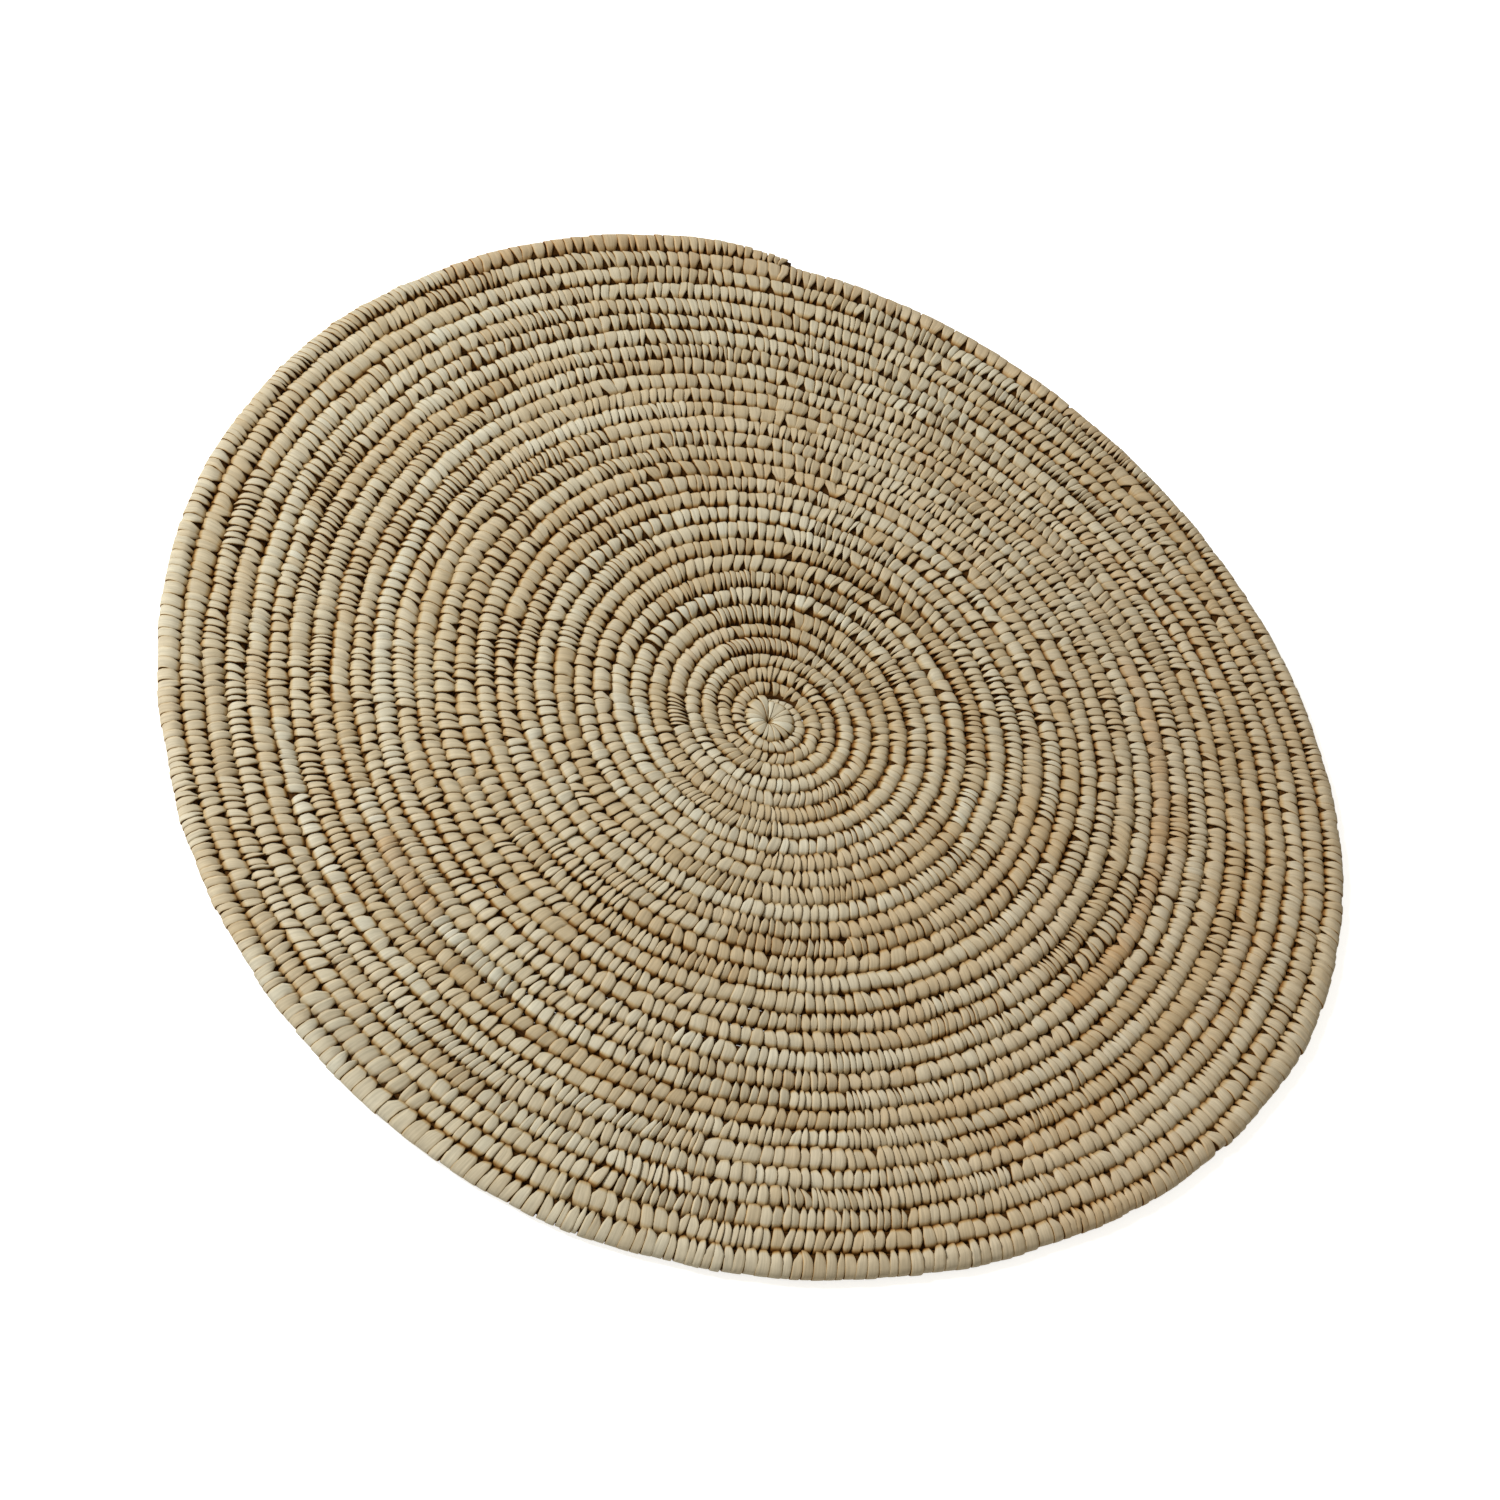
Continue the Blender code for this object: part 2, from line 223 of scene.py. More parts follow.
def row_shape(turn):
    """Middle radius, half width and half height of the coil at each turn, tail included."""
    inner, outer = uneven_edge(np.maximum(turn - 1, 0)), uneven_edge(turn)
    width = outer - inner
    height = np.minimum(ROW_HEIGHT, width)
    drawn_in = np.clip((turn - TAIL_START) / (TAIL_END - TAIL_START), 0, 1) ** TAIL_TAPER_POWER
    width = width * (1 - drawn_in * (1 - TAIL_TIP_WIDTH_SHARE))
    height = height * (1 - drawn_in * (1 - TAIL_TIP_HEIGHT_SHARE))
    return inner + width / 2, width / 2, height / 2


def knot_shape(turn):
    """The same for the centre knot, whose folds reach from the middle to the first row."""
    phase = np.asarray(turn, float) % 1
    outer = np.where(phase < START_TURN, row_edge(phase), KNOT_RADIUS) + KNOT_TUCK
    return outer / 2, outer / 2, np.full_like(outer, ROW_HEIGHT / 2)


def lie_height(radius):
    """Height of the rows' underside above the table: a low swell that ends short of the rim."""
    along = np.minimum(radius / (LEVEL_RADIUS_SHARE * RIM_RADIUS), 1)
    return SWELL_RISE * np.sin(math.pi * along) ** 2


def plan_points(radius, turn, height):
    """Points at these radii and turns, pushed out where the hand-made outline bulges."""
    bearing = -2 * math.pi * turn
    reach = radius
    for bulges, power in ((BODY_BULGES, BODY_POWER), (RIM_BULGES, RIM_POWER)):
        for count, rise, towards in bulges:
            wave = np.cos(count * (bearing - math.radians(towards)))
            reach = reach + rise * wave * (radius / RIM_RADIUS) ** power
    return np.stack((reach * np.cos(bearing), reach * np.sin(bearing), height), -1)


def hand_wander(turn, radius, period, noise_slice):
    """Smooth unevenness from -1 to 1 at each place on the coil, shared by rows that touch."""
    places = plan_points(radius, turn, np.zeros_like(radius)) / period
    return np.array([noise.noise(Vector((x, y, noise_slice))) for x, y, _ in places])


def hex_colour(text):
    """Linear RGBA of an sRGB hex value."""
    parts = [int(text[i:i + 2], 16) / 255 for i in (1, 3, 5)]
    linear = [p / 12.92 if p <= 0.04045 else ((p + 0.055) / 1.055) ** 2.4 for p in parts]
    return (*linear, 1.0)


class StitchSizes(bpy.types.PropertyGroup):
    """Sizes of the leaf strips and how they lie."""

    width: bpy.props.FloatProperty(
        name="Stitch width", description="Usual width of one pass of a leaf strip along the coil",
        default=0.0035, min=0.002, max=0.009, unit="LENGTH")
    crown: bpy.props.FloatProperty(
        name="Crown", description="How far the middle of a strip stands over its edges",
        default=0.00052, min=0, max=0.002, unit="LENGTH")
    inner_gap: bpy.props.FloatProperty(
        name="Inner gap",
        description="Share of its width that a stitch loses where it dives inwards",
        default=0.6, min=0, max=0.9, subtype="FACTOR")
    outer_gap: bpy.props.FloatProperty(
        name="Outer gap", description="Share of its width that a stitch loses on the outer side",
        default=0.42, min=0, max=0.9, subtype="FACTOR")
    lap: bpy.props.FloatProperty(
        name="Lap", description="How far a strip's one edge stands over the strip beside it",
        default=0.00028, min=0, max=0.001, unit="LENGTH")
    dive: bpy.props.FloatProperty(
        name="Dive", description="How far a stitch reaches over the groove into the row before",
        default=0.001, min=0, max=0.003, unit="LENGTH")
    lean: bpy.props.FloatProperty(
        name="Lean", description="How much further along the coil a stitch is on its outer side",
        default=0.00035, min=-0.002, max=0.002, unit="LENGTH")
    seed: bpy.props.IntProperty(
        name="Seed", description="Picks another set of uneven strips", default=7, min=0)


class BundleSizes(bpy.types.PropertyGroup):
    """Sizes of the fibre bundle inside the coil."""

    inset: bpy.props.FloatProperty(
        name="Inset", description="From the row's top and underside in to the bundle",
        default=0.0012, min=0.0004, max=0.003, unit="LENGTH")
    side_inset: bpy.props.FloatProperty(
        name="Side inset", description="From the row's sides in to the bundle; below zero the "
        "bundles of two rows press into each other",
        default=-0.00015, min=-0.001, max=0.003, unit="LENGTH")
    step: bpy.props.FloatProperty(
        name="Step", description="Length of coil between two rings of the bundle's mesh",
        default=0.005, min=0.002, max=0.02, unit="LENGTH")


def colour_setting(name, description, text):
    """A colour of the settings, from its hex value."""
    return bpy.props.FloatVectorProperty(
        name=name, description=description, default=hex_colour(text), size=4, min=0, max=1,
        subtype="COLOR")


class TrayColours(bpy.types.PropertyGroup):
    """Colours of the dry leaf, of its painted shade towards the grooves, and of the fibre."""

    tan_leaf: colour_setting("Tan leaf", "The darkest strips", "#a18e6d")
    beige_leaf: colour_setting("Beige leaf", "Strips darker than the usual", "#b2a488")
    usual_leaf: colour_setting("Usual leaf", "The strips that are seen most", "#bbb49f")
    pale_leaf: colour_setting("Pale leaf", "Strips paler than the usual", "#c1bead")
    bleached_leaf: colour_setting("Bleached leaf", "The palest strips", "#cac7b9")
    yellowed_leaf: colour_setting("Yellowed leaf", "What aged strips turn to", "#ad8a5e")
    # Painted shade: tints of a stitch's shaded sides, of its edges and of the grooves
    side_shade: colour_setting("Side stain", "Tint of a stitch beside its crown", "#f1e1c4")
    edge_shade: colour_setting("Edge stain", "Tint of a stitch near its edges", "#b1864a")
    groove_shade: colour_setting("Groove stain", "Tint down in the grooves", "#5e330a")
    # The fibre's own brown, made darker as painted shade of the gaps it shows through
    dark_fibre: colour_setting("Dark fibre", "Between the stalks of the bundle", "#2a1604")
    pale_fibre: colour_setting("Pale fibre", "The stalks of the bundle", "#4e310e")


class StudioSettings(bpy.types.PropertyGroup):
    """Light on the tray."""

    key_power: bpy.props.FloatProperty(
        name="Key power", description="Power of the soft window light", default=74.0, min=0,
        unit="POWER")
    sky: bpy.props.FloatProperty(
        name="Sky", description="Strength of the even light from all round", default=0.37, min=0)


class TraySettings(bpy.types.PropertyGroup):
    """All settings of the tray."""

    stitch: bpy.props.PointerProperty(type=StitchSizes)
    bundle: bpy.props.PointerProperty(type=BundleSizes)
    colours: bpy.props.PointerProperty(type=TrayColours)
    studio: bpy.props.PointerProperty(type=StudioSettings)


def add_node(tree, kind, settings=None, links=None, values=None):
    """Adds one node with its settings, its inputs' values and the sockets linked into it."""
    node = tree.nodes.new(kind)
    for name, value in (settings or {}).items():
        setattr(node, name, value)
    for name, value in (values or {}).items():
        node.inputs[name].default_value = value
    for name, socket in (links or {}).items():
        tree.links.new(socket, node.inputs[name])
    return node


def per_mm(size):
    """Scale of a pattern whose grain is this many mm across the strip and along it."""
    across, along = size
    return 1 / across, 1 / along, 1


def new_material(name):
    """An empty node material and its Principled shader, or None for one that is made already."""
    material = bpy.data.materials.get(name)
    if material:
        return material, None
    material = bpy.data.materials.new(name)
    material.use_nodes = True
    return material, material.node_tree.nodes["Principled BSDF"]


def dry_palm_leaf():
    """Split palm leaf, sun dried and sewn damp: satin, with fine ribs along each strip.

    The eye sees one tone to a strip, from greenish beige to tan; brown painted shade darkens
    its sides, its edges and the grooves.
    """
    material, shader = new_material("dry_palm_leaf")
    if shader is None:
        return material
    tree = material.node_tree
    colours = bpy.context.scene.bread_tray.colours
    grain = add_node(tree, "ShaderNodeUVMap", {"uv_map": "leaf_grain"})
    tone, blush, groove = (
        add_node(tree, "ShaderNodeAttribute", {"attribute_name": name}).outputs["Fac"]
        for name in ("tone", "blush", "groove"))
    rib_place, mottle_place = (
        add_node(tree, "ShaderNodeMapping", links={"Vector": grain.outputs["UV"]},
                 values={"Scale": per_mm(size)}).outputs["Vector"]
        for size in (RIB_SIZE, MOTTLE_SIZE))
    ribs = add_node(tree, "ShaderNodeTexNoise", {"noise_dimensions": "2D"}, {"Vector": rib_place},
                    {"Scale": 1.0, "Detail": 3.0, "Roughness": 0.6}).outputs["Fac"]
    mottles = add_node(tree, "ShaderNodeTexNoise", {"noise_dimensions": "2D"},
                       {"Vector": mottle_place},
                       {"Scale": 1.0, "Detail": 2.0, "Roughness": 0.5}).outputs["Fac"]

    tones = add_node(tree, "ShaderNodeValToRGB", links={"Fac": tone})
    tones.color_ramp.elements[0].color = colours.tan_leaf
    tones.color_ramp.elements[1].color = colours.bleached_leaf
    for place, colour in ((0.35, colours.beige_leaf), (0.65, colours.usual_leaf),
                          (0.85, colours.pale_leaf)):
        tones.color_ramp.elements.new(place).color = colour
    blushed = add_node(tree, "ShaderNodeMix", {"data_type": "RGBA"},
                       {"Factor": blush, "A": tones.outputs["Color"]},
                       {"B": colours.yellowed_leaf})

    # The noise mostly keeps within 0.3 and 0.7, and is spread to each of these reaches
    rib_shade, mottle_shade, roughness = (
        add_node(tree, "ShaderNodeMapRange", links={"Value": pattern},
                 values={"From Min": 0.3, "From Max": 0.7, "To Min": low, "To Max": high}
                 ).outputs["Result"]
        for pattern, low, high in ((ribs, 0.86, 1.08), (mottles, 0.93, 1.05), (mottles, 0.55, 0.7)))
    shade = add_node(tree, "ShaderNodeMath", {"operation": "MULTIPLY"},
                     {0: rib_shade, 1: mottle_shade})
    ribbed = add_node(tree, "ShaderNodeVectorMath", {"operation": "SCALE"},
                      {"Vector": blushed.outputs["Result"], "Scale": shade.outputs["Value"]})
    # Painted shade: clean crowns, sides a little yellower and darker, edges and grooves brown
    shade_tint = add_node(tree, "ShaderNodeValToRGB", links={"Fac": groove})
    shade_tint.color_ramp.elements[0].color = (1, 1, 1, 1)
    shade_tint.color_ramp.elements[1].color = colours.groove_shade
    for place, colour in ((0.3, colours.side_shade), (0.6, colours.edge_shade)):
        shade_tint.color_ramp.elements.new(place).color = colour
    shaded = add_node(tree, "ShaderNodeVectorMath", {"operation": "MULTIPLY"},
                       {0: ribbed.outputs["Vector"], 1: shade_tint.outputs["Color"]})
    tree.links.new(shaded.outputs["Vector"], shader.inputs["Base Color"])

    tree.links.new(roughness, shader.inputs["Roughness"])
    shader.inputs["IOR"].default_value = 1.45
    shader.inputs["Specular IOR Level"].default_value = 0.12
    bump = add_node(tree, "ShaderNodeBump", links={"Height": ribs},
                    values={"Strength": 0.5, "Distance": 0.14 * MM})
    tree.links.new(bump.outputs["Normal"], shader.inputs["Normal"])
    return material


def palm_fibre():
    """Brown midrib fibre, combed and bundled: matte, with stalks running along the coil.

    Its brown is darkened past its own as painted shade of the gaps between stitches.
    """
    material, shader = new_material("palm_fibre_bundle")
    if shader is None:
        return material
    tree = material.node_tree
    colours = bpy.context.scene.bread_tray.colours
    grain = add_node(tree, "ShaderNodeUVMap", {"uv_map": "leaf_grain"})
    place = add_node(tree, "ShaderNodeMapping", links={"Vector": grain.outputs["UV"]},
                     values={"Scale": per_mm(STALK_SIZE)})
    stalks = add_node(tree, "ShaderNodeTexNoise", {"noise_dimensions": "2D"},
                      {"Vector": place.outputs["Vector"]},
                      {"Scale": 1.0, "Detail": 3.0, "Roughness": 0.65}).outputs["Fac"]
    browns = add_node(tree, "ShaderNodeValToRGB", links={"Fac": stalks})
    browns.color_ramp.elements[0].position = 0.3
    browns.color_ramp.elements[0].color = colours.dark_fibre
    browns.color_ramp.elements[1].position = 0.75
    browns.color_ramp.elements[1].color = colours.pale_fibre
    tree.links.new(browns.outputs["Color"], shader.inputs["Base Color"])
    shader.inputs["Roughness"].default_value = 0.85
    shader.inputs["IOR"].default_value = 1.45
    shader.inputs["Specular IOR Level"].default_value = 0.08
    bump = add_node(tree, "ShaderNodeBump", links={"Height": stalks},
                    values={"Strength": 0.8, "Distance": 0.4 * MM})
    tree.links.new(bump.outputs["Normal"], shader.inputs["Normal"])
    return material


def seen_share(tree):
    """1 for what is seen directly, in a gloss or through glass, and 0 for what only lights."""
    path = add_node(tree, "ShaderNodeLightPath")
    glossy = add_node(tree, "ShaderNodeMath", {"operation": "MAXIMUM"},
                      {0: path.outputs["Is Camera Ray"], 1: path.outputs["Is Glossy Ray"]})
    seen = add_node(tree, "ShaderNodeMath", {"operation": "MAXIMUM"},
                    {0: glossy.outputs["Value"], 1: path.outputs["Is Transmission Ray"]})
    return seen.outputs["Value"]


def studio_paper():
    """Matte white background paper: seen white, and still takes the tray's shadow."""
    material, shader = new_material("studio_paper")
    if shader is None:
        return material
    tree = material.node_tree
    shader.inputs["Base Color"].default_value = hex_colour(PAPER_COLOUR)
    shader.inputs["Roughness"].default_value = 0.95
    shader.inputs["Specular IOR Level"].default_value = 0.0
    glow = add_node(tree, "ShaderNodeMath", {"operation": "MULTIPLY"},
                    {0: seen_share(tree)}, {1: PAPER_GLOW})
    shader.inputs["Emission Color"].default_value = (1, 1, 1, 1)
    tree.links.new(glow.outputs["Value"], shader.inputs["Emission Strength"])
    return material


def add_object(name, data):
    """Puts a mesh, light or camera into the scene."""
    thing = bpy.data.objects.new(name, data)
    bpy.context.scene.collection.objects.link(thing)
    return thing


def corner_places(low_u, high_u, first_v, last_v):
    """Picture places of each face's four corners, two at first_v and then two at last_v."""
    corners = ((low_u, first_v), (high_u, first_v), (high_u, last_v), (low_u, last_v))
    return np.stack([np.stack(np.broadcast_arrays(u, v), -1) for u, v in corners], -2)


def ring_mesh(name, points, material, grain, atlas, values):
    """One mesh of closed rings. points is rings by places round by places across by 3.

    grain holds the places in mm round and across each ring, for the leaf's pattern, and
    atlas the same as shares of one ring's patch on the baked picture.
    """
    shape = rings, around, across = points.shape[:3]
    mesh = bpy.data.meshes.new(name)
    corner = np.arange(rings * around * across).reshape(shape)
    after_round = np.roll(corner, -1, axis=1)
    after_both = np.roll(after_round, -1, axis=2)
    after_across = np.roll(corner, -1, axis=2)
    faces = np.stack((corner, after_across, after_both, after_round), -1).reshape(-1, 4)
    mesh.vertices.add(points[..., 0].size)
    mesh.vertices.foreach_set("co", points.reshape(-1).astype(np.float32))
    mesh.loops.add(faces.size)
    mesh.loops.foreach_set("vertex_index", faces.reshape(-1).astype(np.int32))
    mesh.polygons.add(len(faces))
    mesh.polygons.foreach_set("loop_start", np.arange(0, faces.size, 4, dtype=np.int32))
    mesh.polygons.foreach_set("use_smooth", np.ones(len(faces), bool))
    mesh.update(calc_edges=True)
    for key, (steps_across, steps_round) in (("leaf_grain", grain), ("OFBake", atlas)):
        uv = corner_places(steps_across[:, None, :-1], steps_across[:, None, 1:],
                           steps_round[:, :-1, None], steps_round[:, 1:, None])
        layer = mesh.uv_layers.new(name=key)
        layer.uv.foreach_set("vector", uv.reshape(-1).astype(np.float32))
    for key, value in values.items():
        spread = np.broadcast_to(value, shape).reshape(-1)
        mesh.attributes.new(key, "FLOAT", "POINT").data.foreach_set(
            "value", spread.astype(np.float32))
    mesh.materials.append(material)
    return add_object(name, mesh)


def smooth_step(low, high, value):
    """0 up to low, 1 from high on, and a smooth way between them."""
    share = np.clip((value - low) / (high - low), 0, 1)
    return share * share * (3 - 2 * share)


def squared(wave):
    """A sine or cosine whose circle is drawn a little towards a square."""
    return np.sign(wave) * np.abs(wave) ** SQUARENESS


def stitch_points(shape, turn, look):
    """Closed rings of leaf round the coil, one for each turn given.

    A strip lies broad over the crown of the row and narrows where it dives into the grooves.
    """
    middle, half_width, half_height = (value[:, None, None] for value in shape)
    place = {key: value[:, None, None] for key, value in look.items()}
    angle = (2 * math.pi * np.arange(AROUND) / AROUND)[None, :, None]
    outward, upward = np.cos(angle), np.sin(angle)
    tooth = np.clip((-outward - place["gap_start"]) / (1 - place["gap_start"]), 0, 1)
    heel = np.clip((outward - place["heel_start"]) / (1 - place["heel_start"]), 0, 1)
    narrow = ((1 - place["inner_gap"] * tooth ** INNER_GAP_POWER)
              * (1 - place["outer_gap"] * heel ** OUTER_GAP_POWER))
    x = ACROSS[None, None, :]
    along = x * narrow * place["width"] / 2 + place["lean"] * outward + place["skew"] * tooth
    smooth = 1 - BARE_SMOOTHING * place["bare"] * (outward > BARE_REACH)
    crown = place["crown"] * (TOP_CROWN + SIDE_CROWN * np.abs(outward) ** CROWN_POWER) * smooth
    lift = (CROWNED * crown - TURNED_DOWN * EDGE_DEPTH
            + (x * place["tilt"] + place["proud"]) * smooth)
    dive = place["dive"] * smooth_step(*DIVE_REACH, -outward)
    out = squared(outward) * (half_width - BODY_DEPTH * smooth + lift) - dive
    up = squared(upward) * (half_height - BODY_DEPTH + lift)
    turns = turn[:, None, None] + along / (2 * math.pi * middle)
    height = lie_height(middle) + place["rise"] + half_height + up
    radius = np.maximum(middle + place["shift"] + out, LEAST_RADIUS)
    turns, radius, height = np.broadcast_arrays(turns, radius, height)
    return plan_points(radius, turns, np.maximum(height, TABLE_CLEARANCE))


def stitch_maps(count, width, random):
    """Leaf grain in mm and picture patch, for that many stitches, across and round."""
    across = np.concatenate((ACROSS / 2 + 0.5, [PATTERN_CLOSING]))
    widths = across * (width[:, None] / MM) + random.uniform(0, PATTERN_REACH, (count, 1))
    around = np.linspace(0, PATTERN_ROUND, AROUND + 1)
    rounds = around + random.uniform(0, PATTERN_REACH, (count, 1))
    columns = math.ceil(math.sqrt(count * PATCH_SHAPE))
    rows = math.ceil(count / columns)
    number = np.arange(count)[:, None]
    u = number % columns / columns + (PATCH_MARGIN + PATCH_PLACES) / columns
    v = number // columns / rows + np.linspace(PATCH_MARGIN, 1 - PATCH_MARGIN, AROUND + 1) / rows
    return (widths, rounds), (u, v)


def coil_table():
    """Turn and length along the coil, from under the knot to the tail's end."""
    turn = np.linspace(START_TURN - TUCKED_TURNS, TAIL_END, COIL_TABLE_STEPS)
    middle = row_shape(turn)[0]
    steps = 2 * math.pi * (middle[1:] + middle[:-1]) / 2 * np.diff(turn)
    return turn, np.concatenate(([0.0], np.cumsum(steps)))


def sewn_strips(sizes):
    """Turn and look of every stitch, strip by strip along the whole coil."""
    random = np.random.default_rng(sizes.seed)
    turn, length = coil_table()
    end = length[-1] - TAIL_CUT
    stitches = []
    at, leaf_tone, leaf_blush = 0.0, FIRST_TONE, 0.0
    while at < end:
        grown = float(smooth_step(*FINE_LENGTHS, at))
        fine = {key: share + gain * grown for key, (share, gain) in FINE.items()}
        if random.random() < NEW_LEAF_CHANCE:
            leaf_tone = random.normal(*STRIP["leaf_tone"])
            leaf_blush = max(random.normal(*STRIP["leaf_blush"]), 0) * fine["blush"]
        broad = float(np.clip(random.lognormal(*STRIP["width"]), *STRIP_WIDTHS))
        strip = sizes.width * fine["width"] * broad
        flat = random.random() < FLAT_CHANCE
        tone = leaf_tone + random.normal(*STRIP["tone"])
        blush = float(np.clip(leaf_blush + random.normal(*STRIP["blush"]), 0, MOST_BLUSH))
        lean = sizes.lean + random.normal(*STRIP["lean"]) * MM
        shade_paint = random.uniform(*STRIP["shade_paint"])
        tilt = random.normal(*STRIP["tilt"])
        rise = FLAT_CROWN if flat else random.uniform(*STRIP["crown"])
        crown = sizes.crown * fine["crown"] * rise
        at += (random.uniform(*STRIP["space"]) * MM
               + (random.random() < WIDE_SPACE_CHANCE) * random.uniform(*STRIP["wide_space"]) * MM)
        drawn = 0.0  # how far the last stitch was drawn on, into a hole shared with this one
        for _ in range(int(random.integers(*STRIP_STITCHES))):
            width = strip * float(np.clip(random.normal(*STITCH["pass"]), *PASS_WIDTHS))
            at += width / 2
            if at > end:
                break
            spare = sizes.width / width  # a broad pass lies flatter and keeps more of its width
            ease = fine["gaps"] * (FLAT_GAPS if flat else 1.0) * spare
            skew = random.normal(*STITCH["skew"]) * MM - drawn
            shares_hole = drawn == 0 and random.random() < SHARED_HOLE_CHANCE
            drawn = SHARED_HOLE_PULL * width if shares_hole else 0.0
            stitches.append({
                "place": at,
                "width": width * random.uniform(*STITCH["width"]),
                "crown": crown * spare ** 0.5 * random.uniform(*STITCH["crown"]),
                "inner_gap": min(ease * sizes.inner_gap * random.uniform(*STITCH["inner_gap"]),
                                 MOST_INNER_GAP),
                "outer_gap": min(ease * sizes.outer_gap * random.uniform(*STITCH["outer_gap"]),
                                 MOST_OUTER_GAP),
                "gap_start": random.uniform(*STITCH["gap_start"]),
                "heel_start": random.uniform(*STITCH["heel_start"]),
                "lean": lean + random.normal(*STITCH["lean"]) * MM,
                "skew": skew + drawn,
                "tilt": sizes.lap * float(np.clip(random.normal(tilt, TILT_SPREAD), *TILTS)),
                "proud": random.normal(*STITCH["proud"]) * MM,
                "sway": random.normal(*STITCH["sway"]) * MM,
                "shade_paint": shade_paint * random.uniform(*STITCH["shade_paint"]),
                "dive": sizes.dive * fine["dive"] * random.uniform(*STITCH["dive"]),
                "tone": tone + random.normal(*STITCH["tone"]),
                "blush": blush * random.uniform(*STITCH["blush"]),
            })
            at += width / 2
    look = {key: np.array([stitch[key] for stitch in stitches]) for key in stitches[0]}
    turns = np.interp(look.pop("place"), length, turn)
    # The rim's outer side is not pierced by another row, so its stitches stay broad there
    look["bare"] = np.where(turns > TAIL_END - 1, 1.0, 0.0)
    look["outer_gap"] *= 1 - BARE_GAP_LOSS * look["bare"]
    return turns, look


def row_wander(turn, middle):
    """How far the rows stray sideways and up from a true spiral, as hands leave them."""
    grown = np.clip(middle / RIM_RADIUS * WANDER_GROWTH, 0, 1)
    return [most * grown * hand_wander(turn, middle, period, noise_slice)
            for most, period, noise_slice in (SIDE_WANDER, RISE_WANDER)]


def painted_shade_share(bare, shade_paint):
    """Painted shade of each place of a stitch: none on the crown, brown down in the grooves.

    The stitch's edges take some too, and its outer side less than its inner one.
    bare is 1 for a stitch with no row outside it, whose outer side takes none, like its crown.
    """
    outward = np.cos(2 * math.pi * np.arange(AROUND) / AROUND)
    side = smooth_step(*SHADE_REACH, np.abs(outward))
    side = side * np.where(outward > 0, OUTER_SHADE * (1 - bare[:, None]), 1)
    return np.clip((side * shade_paint[:, None])[..., None] + SHADE_ACROSS, 0, 1)


def dress(thing, nodes):
    """The piece rides the tray's body and stands for these nodes, which it hides."""
    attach(thing, BODY)
    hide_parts(*nodes)
    return thing


def sew(name, shape, turns, look, nodes, seed):
    """One piece of leaf stitches, dressed for its nodes."""
    random = np.random.default_rng(seed)
    grain, atlas = stitch_maps(len(turns), look["width"], random)
    points = stitch_points(shape, turns, look)
    # groove carries each place's brown painted shade
    values = {"tone": look["tone"][:, None, None], "blush": look["blush"][:, None, None],
              "groove": painted_shade_share(look["bare"], look["shade_paint"])}
    return dress(ring_mesh(name, points, dry_palm_leaf(), grain, atlas, values), nodes)


class TRAY_OT_fibre_bundle(bpy.types.Operator):
    """Lay the fibre bundle along the whole spiral, inside the leaf stitches"""

    bl_idname = "bread_tray.fibre_bundle"
    bl_label = "Lay the fibre bundle"
    bl_options = {"REGISTER", "UNDO"}

    def execute(self, context):
        sizes = context.scene.bread_tray.bundle
        turn, length = coil_table()
        count = int(length[-1] / sizes.step)
        turns = np.interp(np.linspace(BUNDLE_START, length[-1] - BUNDLE_END, count), length, turn)
        middle, half_width, half_height = row_shape(turns)
        shift, rise = row_wander(turns, middle)
        angle = 2 * math.pi * np.arange(BUNDLE_SIDES) / BUNDLE_SIDES
        outward = np.cos(angle)
        # The rim's outer side meets no other row, so the bundle stays well inside it there
        free = np.where(turns > TAIL_END - 1, BARE_INSET, 0.0)[:, None] * (outward > 0)
        # Its start, a little over one turn, reaches in under the knot's folds, and hides the floor
        tucked = np.where(turns < TUCKED_END_TURN, TUCKED_REACH, 0.0)[:, None] * (outward < 0)
        out = outward * ((half_width - sizes.side_inset)[:, None] - free + tucked)
        up = np.sin(angle) * (half_height - sizes.inset)[:, None]
        radius = (middle + shift)[:, None] + out
        height = (lie_height(middle) + rise + half_height)[:, None] + up
        points = plan_points(radius, np.broadcast_to(turns[:, None], radius.shape), height)
        dress(self.tube(points, length), ["foundation_bundle"])
        return {"FINISHED"}

    def tube(self, points, length):
        """A closed tube along the coil, with its two ends filled."""
        rings, sides = points.shape[:2]
        corner = np.arange(rings * sides).reshape(rings, sides)
        after = np.roll(corner, -1, axis=1)
        faces = np.stack((corner[:-1], after[:-1], after[1:], corner[1:]), -1).reshape(-1, 4)
        mesh = bpy.data.meshes.new("fibre_bundle")
        everything = [*faces[:, ::-1].tolist(), corner[0].tolist(), corner[-1][::-1].tolist()]
        mesh.from_pydata(points.reshape(-1, 3).tolist(), [], everything)
        mesh.polygons.foreach_set("use_smooth", np.ones(len(mesh.polygons), bool))
        along = np.linspace(0, length[-1] / MM, rings)
        around = np.linspace(0, BUNDLE_GIRTH, sides + 1)
        uv = corner_places(around[None, :-1], around[None, 1:], along[1:, None], along[:-1, None])
        ends = np.zeros((2 * sides, 2))
        layer = mesh.uv_layers.new(name="leaf_grain")
        layer.uv.foreach_set("vector", np.concatenate((uv.reshape(-1, 2), ends)).reshape(-1))
        mesh.materials.append(palm_fibre())
        return add_object("fibre_bundle", mesh)


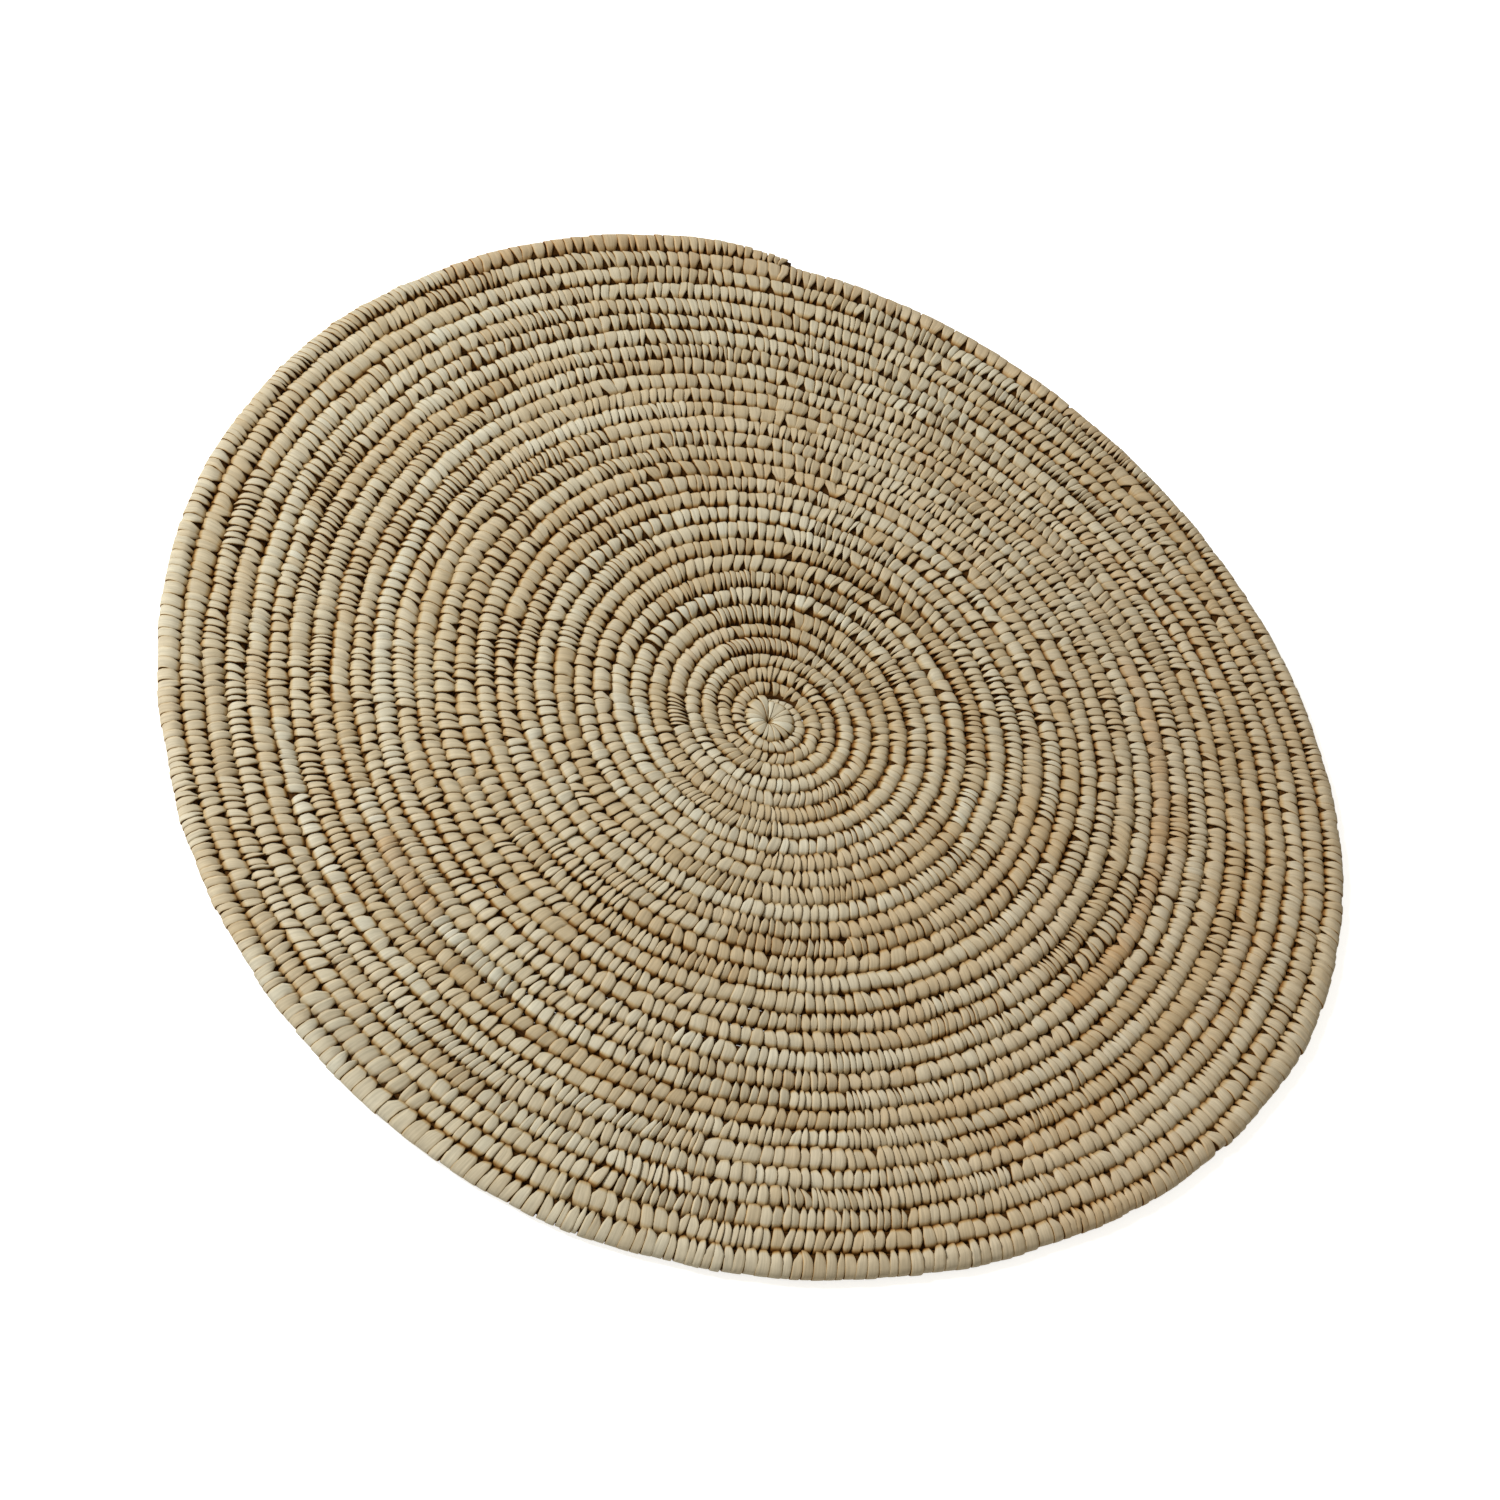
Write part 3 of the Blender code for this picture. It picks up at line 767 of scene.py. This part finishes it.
class TRAY_OT_centre_knot(bpy.types.Operator):
    """Fold the leaf strips that gather in the middle of the tray"""

    bl_idname = "bread_tray.centre_knot"
    bl_label = "Fold the centre knot"
    bl_options = {"REGISTER", "UNDO"}

    def execute(self, context):
        sizes = context.scene.bread_tray.stitch
        random = np.random.default_rng(sizes.seed + 1)
        shares = random.uniform(*FOLD_SHARES, KNOT_FOLDS)
        shares /= shares.sum()
        turns = START_TURN - 1 + np.cumsum(shares) - shares / 2
        shape = knot_shape(turns)
        count = KNOT_FOLDS
        none = np.zeros(count)
        look = {
            "width": shares * 2 * math.pi * shape[0] * FOLD_LAP,
            "crown": random.uniform(*FOLD["crown"], count) * MM,
            "outer_gap": random.uniform(*FOLD["outer_gap"], count),
            "lean": random.normal(*FOLD["lean"], count) * MM,
            "tilt": random.normal(*FOLD["tilt"], count) * MM,
            "proud": random.normal(*FOLD["proud"], count) * MM,
            "tone": random.normal(*FOLD["tone"], count),
            "shade_paint": random.uniform(*FOLD["shade_paint"], count),
            "inner_gap": none + FOLD_INNER_GAP,
            "gap_start": none + FOLD_GAP_START, "heel_start": none + FOLD_GAP_START,
            "skew": none, "dive": none, "blush": none, "shift": none, "rise": none, "bare": none,
        }
        knot = sew("centre_knot_folds", shape, turns, look, ["centre_knot"], sizes.seed)
        # The folds meet beside the middle, where the first strip was drawn tight
        for vertex in knot.data.vertices:
            near = max(1 - vertex.co.xy.length / KNOT_RADIUS, 0)
            vertex.co.xy += Vector(KNOT_PULL) * near
            vertex.co.z -= KNOT_DIP * near ** 2 * (vertex.co.z > ROW_HEIGHT / 2)
        return {"FINISHED"}


class TRAY_OT_sew_rounds(bpy.types.Operator):
    """Sew the leaf strips round the coil, one piece to a round, and the tail's binding"""

    bl_idname = "bread_tray.sew_rounds"
    bl_label = "Sew the rounds"
    bl_options = {"REGISTER", "UNDO"}

    def execute(self, context):
        sizes = context.scene.bread_tray.stitch
        turns, look = sewn_strips(sizes)
        shape = row_shape(turns)
        look["shift"], look["rise"] = row_wander(turns, shape[0])
        look["shift"] += look.pop("sway")
        towards = shape[0] / RIM_RADIUS * np.cos(-2 * math.pi * turns - YELLOWER_BEARING)
        strength, period, noise_slice = AGED_SPOTS
        spots = np.maximum(hand_wander(turns, shape[0], period, noise_slice), 0)
        look["blush"] += YELLOWER_BLUSH * (smooth_step(*YELLOWER_REACH, towards) + strength * spots)
        number = np.maximum(np.floor(turns - START_TURN).astype(int), 0) + 1
        for one in range(1, ROUNDS + 2):
            part = number == one
            if one > ROUNDS:
                name, node = "tail_stitches", "tail_binding"
            else:
                name, node = f"leaf_stitches_round_{one:02d}", f"leaf_wrap_round_{one:02d}"
            sew(name, tuple(value[part] for value in shape), turns[part],
                {key: value[part] for key, value in look.items()}, [node], sizes.seed + one)
        return {"FINISHED"}


class TRAY_OT_studio(bpy.types.Operator):
    """Set up the paper floor, the soft light and the camera"""

    bl_idname = "bread_tray.studio"
    bl_label = "Set up the studio"
    bl_options = {"REGISTER", "UNDO"}

    def execute(self, context):
        scene = context.scene
        settings = scene.bread_tray.studio
        bpy.ops.mesh.primitive_plane_add(size=FLOOR_SIZE, location=(0, 0, 0))
        floor = context.object
        floor.name = "studio_floor"
        floor.data.materials.append(studio_paper())

        world = bpy.data.worlds.new("studio_world")
        world.use_nodes = True
        tree = world.node_tree
        background = tree.nodes["Background"]
        fill = [settings.sky * share for share in hex_colour(SKY_TINT)]
        room = add_node(tree, "ShaderNodeMix", {"data_type": "RGBA"}, {"Factor": seen_share(tree)},
                        {"A": fill, "B": (1, 1, 1, 1)})
        tree.links.new(room.outputs["Result"], background.inputs["Color"])
        scene.world = world

        light = bpy.data.lights.new("window_light", "AREA")
        light.shape = "DISK"
        light.size = LAMP_SIZE
        light.energy = settings.key_power
        lamp = add_object("window_light", light)
        lamp.location = LAMP_PLACE
        lamp.rotation_euler = (-LAMP_PLACE).to_track_quat("-Z", "Y").to_euler()

        camera = bpy.data.cameras.new("photo_camera")
        camera.sensor_width = CAMERA_SENSOR
        camera.lens = CAMERA_LENS
        viewer = add_object("photo_camera", camera)
        aimed = (CAMERA_AIM - CAMERA_PLACE).to_track_quat("-Z", "Y").to_matrix().to_4x4()
        viewer.matrix_world = (Matrix.Translation(CAMERA_PLACE) @ aimed
                               @ Matrix.Rotation(CAMERA_ROLL, 4, "Z"))
        scene.camera = viewer
        scene.view_settings.view_transform = "Standard"
        return {"FINISHED"}


class TRAY_PT_panel(bpy.types.Panel):
    """Sizes of the tray and the steps that make it"""

    bl_idname = "TRAY_PT_panel"
    bl_label = "Palm Leaf Bread Tray"
    bl_space_type = "VIEW_3D"
    bl_region_type = "UI"
    bl_category = "Bread Tray"

    def draw(self, context):
        settings = context.scene.bread_tray
        for group in (settings.stitch, settings.bundle, settings.colours, settings.studio):
            box = self.layout.box()
            for name in group.__annotations__:
                box.prop(group, name)
        for step in STEPS:
            self.layout.operator(step.bl_idname)


STEPS = (TRAY_OT_fibre_bundle, TRAY_OT_centre_knot, TRAY_OT_sew_rounds, TRAY_OT_studio)
CLASSES = (StitchSizes, BundleSizes, TrayColours, StudioSettings, TraySettings, *STEPS,
           TRAY_PT_panel)


def register():
    for one in CLASSES:
        bpy.utils.register_class(one)
    bpy.types.Scene.bread_tray = bpy.props.PointerProperty(type=TraySettings)


def unregister():
    del bpy.types.Scene.bread_tray
    for one in reversed(CLASSES):
        bpy.utils.unregister_class(one)


def main():
    register()
    bpy.ops.bread_tray.fibre_bundle()
    bpy.ops.bread_tray.centre_knot()
    bpy.ops.bread_tray.sew_rounds()
    bpy.ops.bread_tray.studio()


if __name__ == "__main__":
    main()
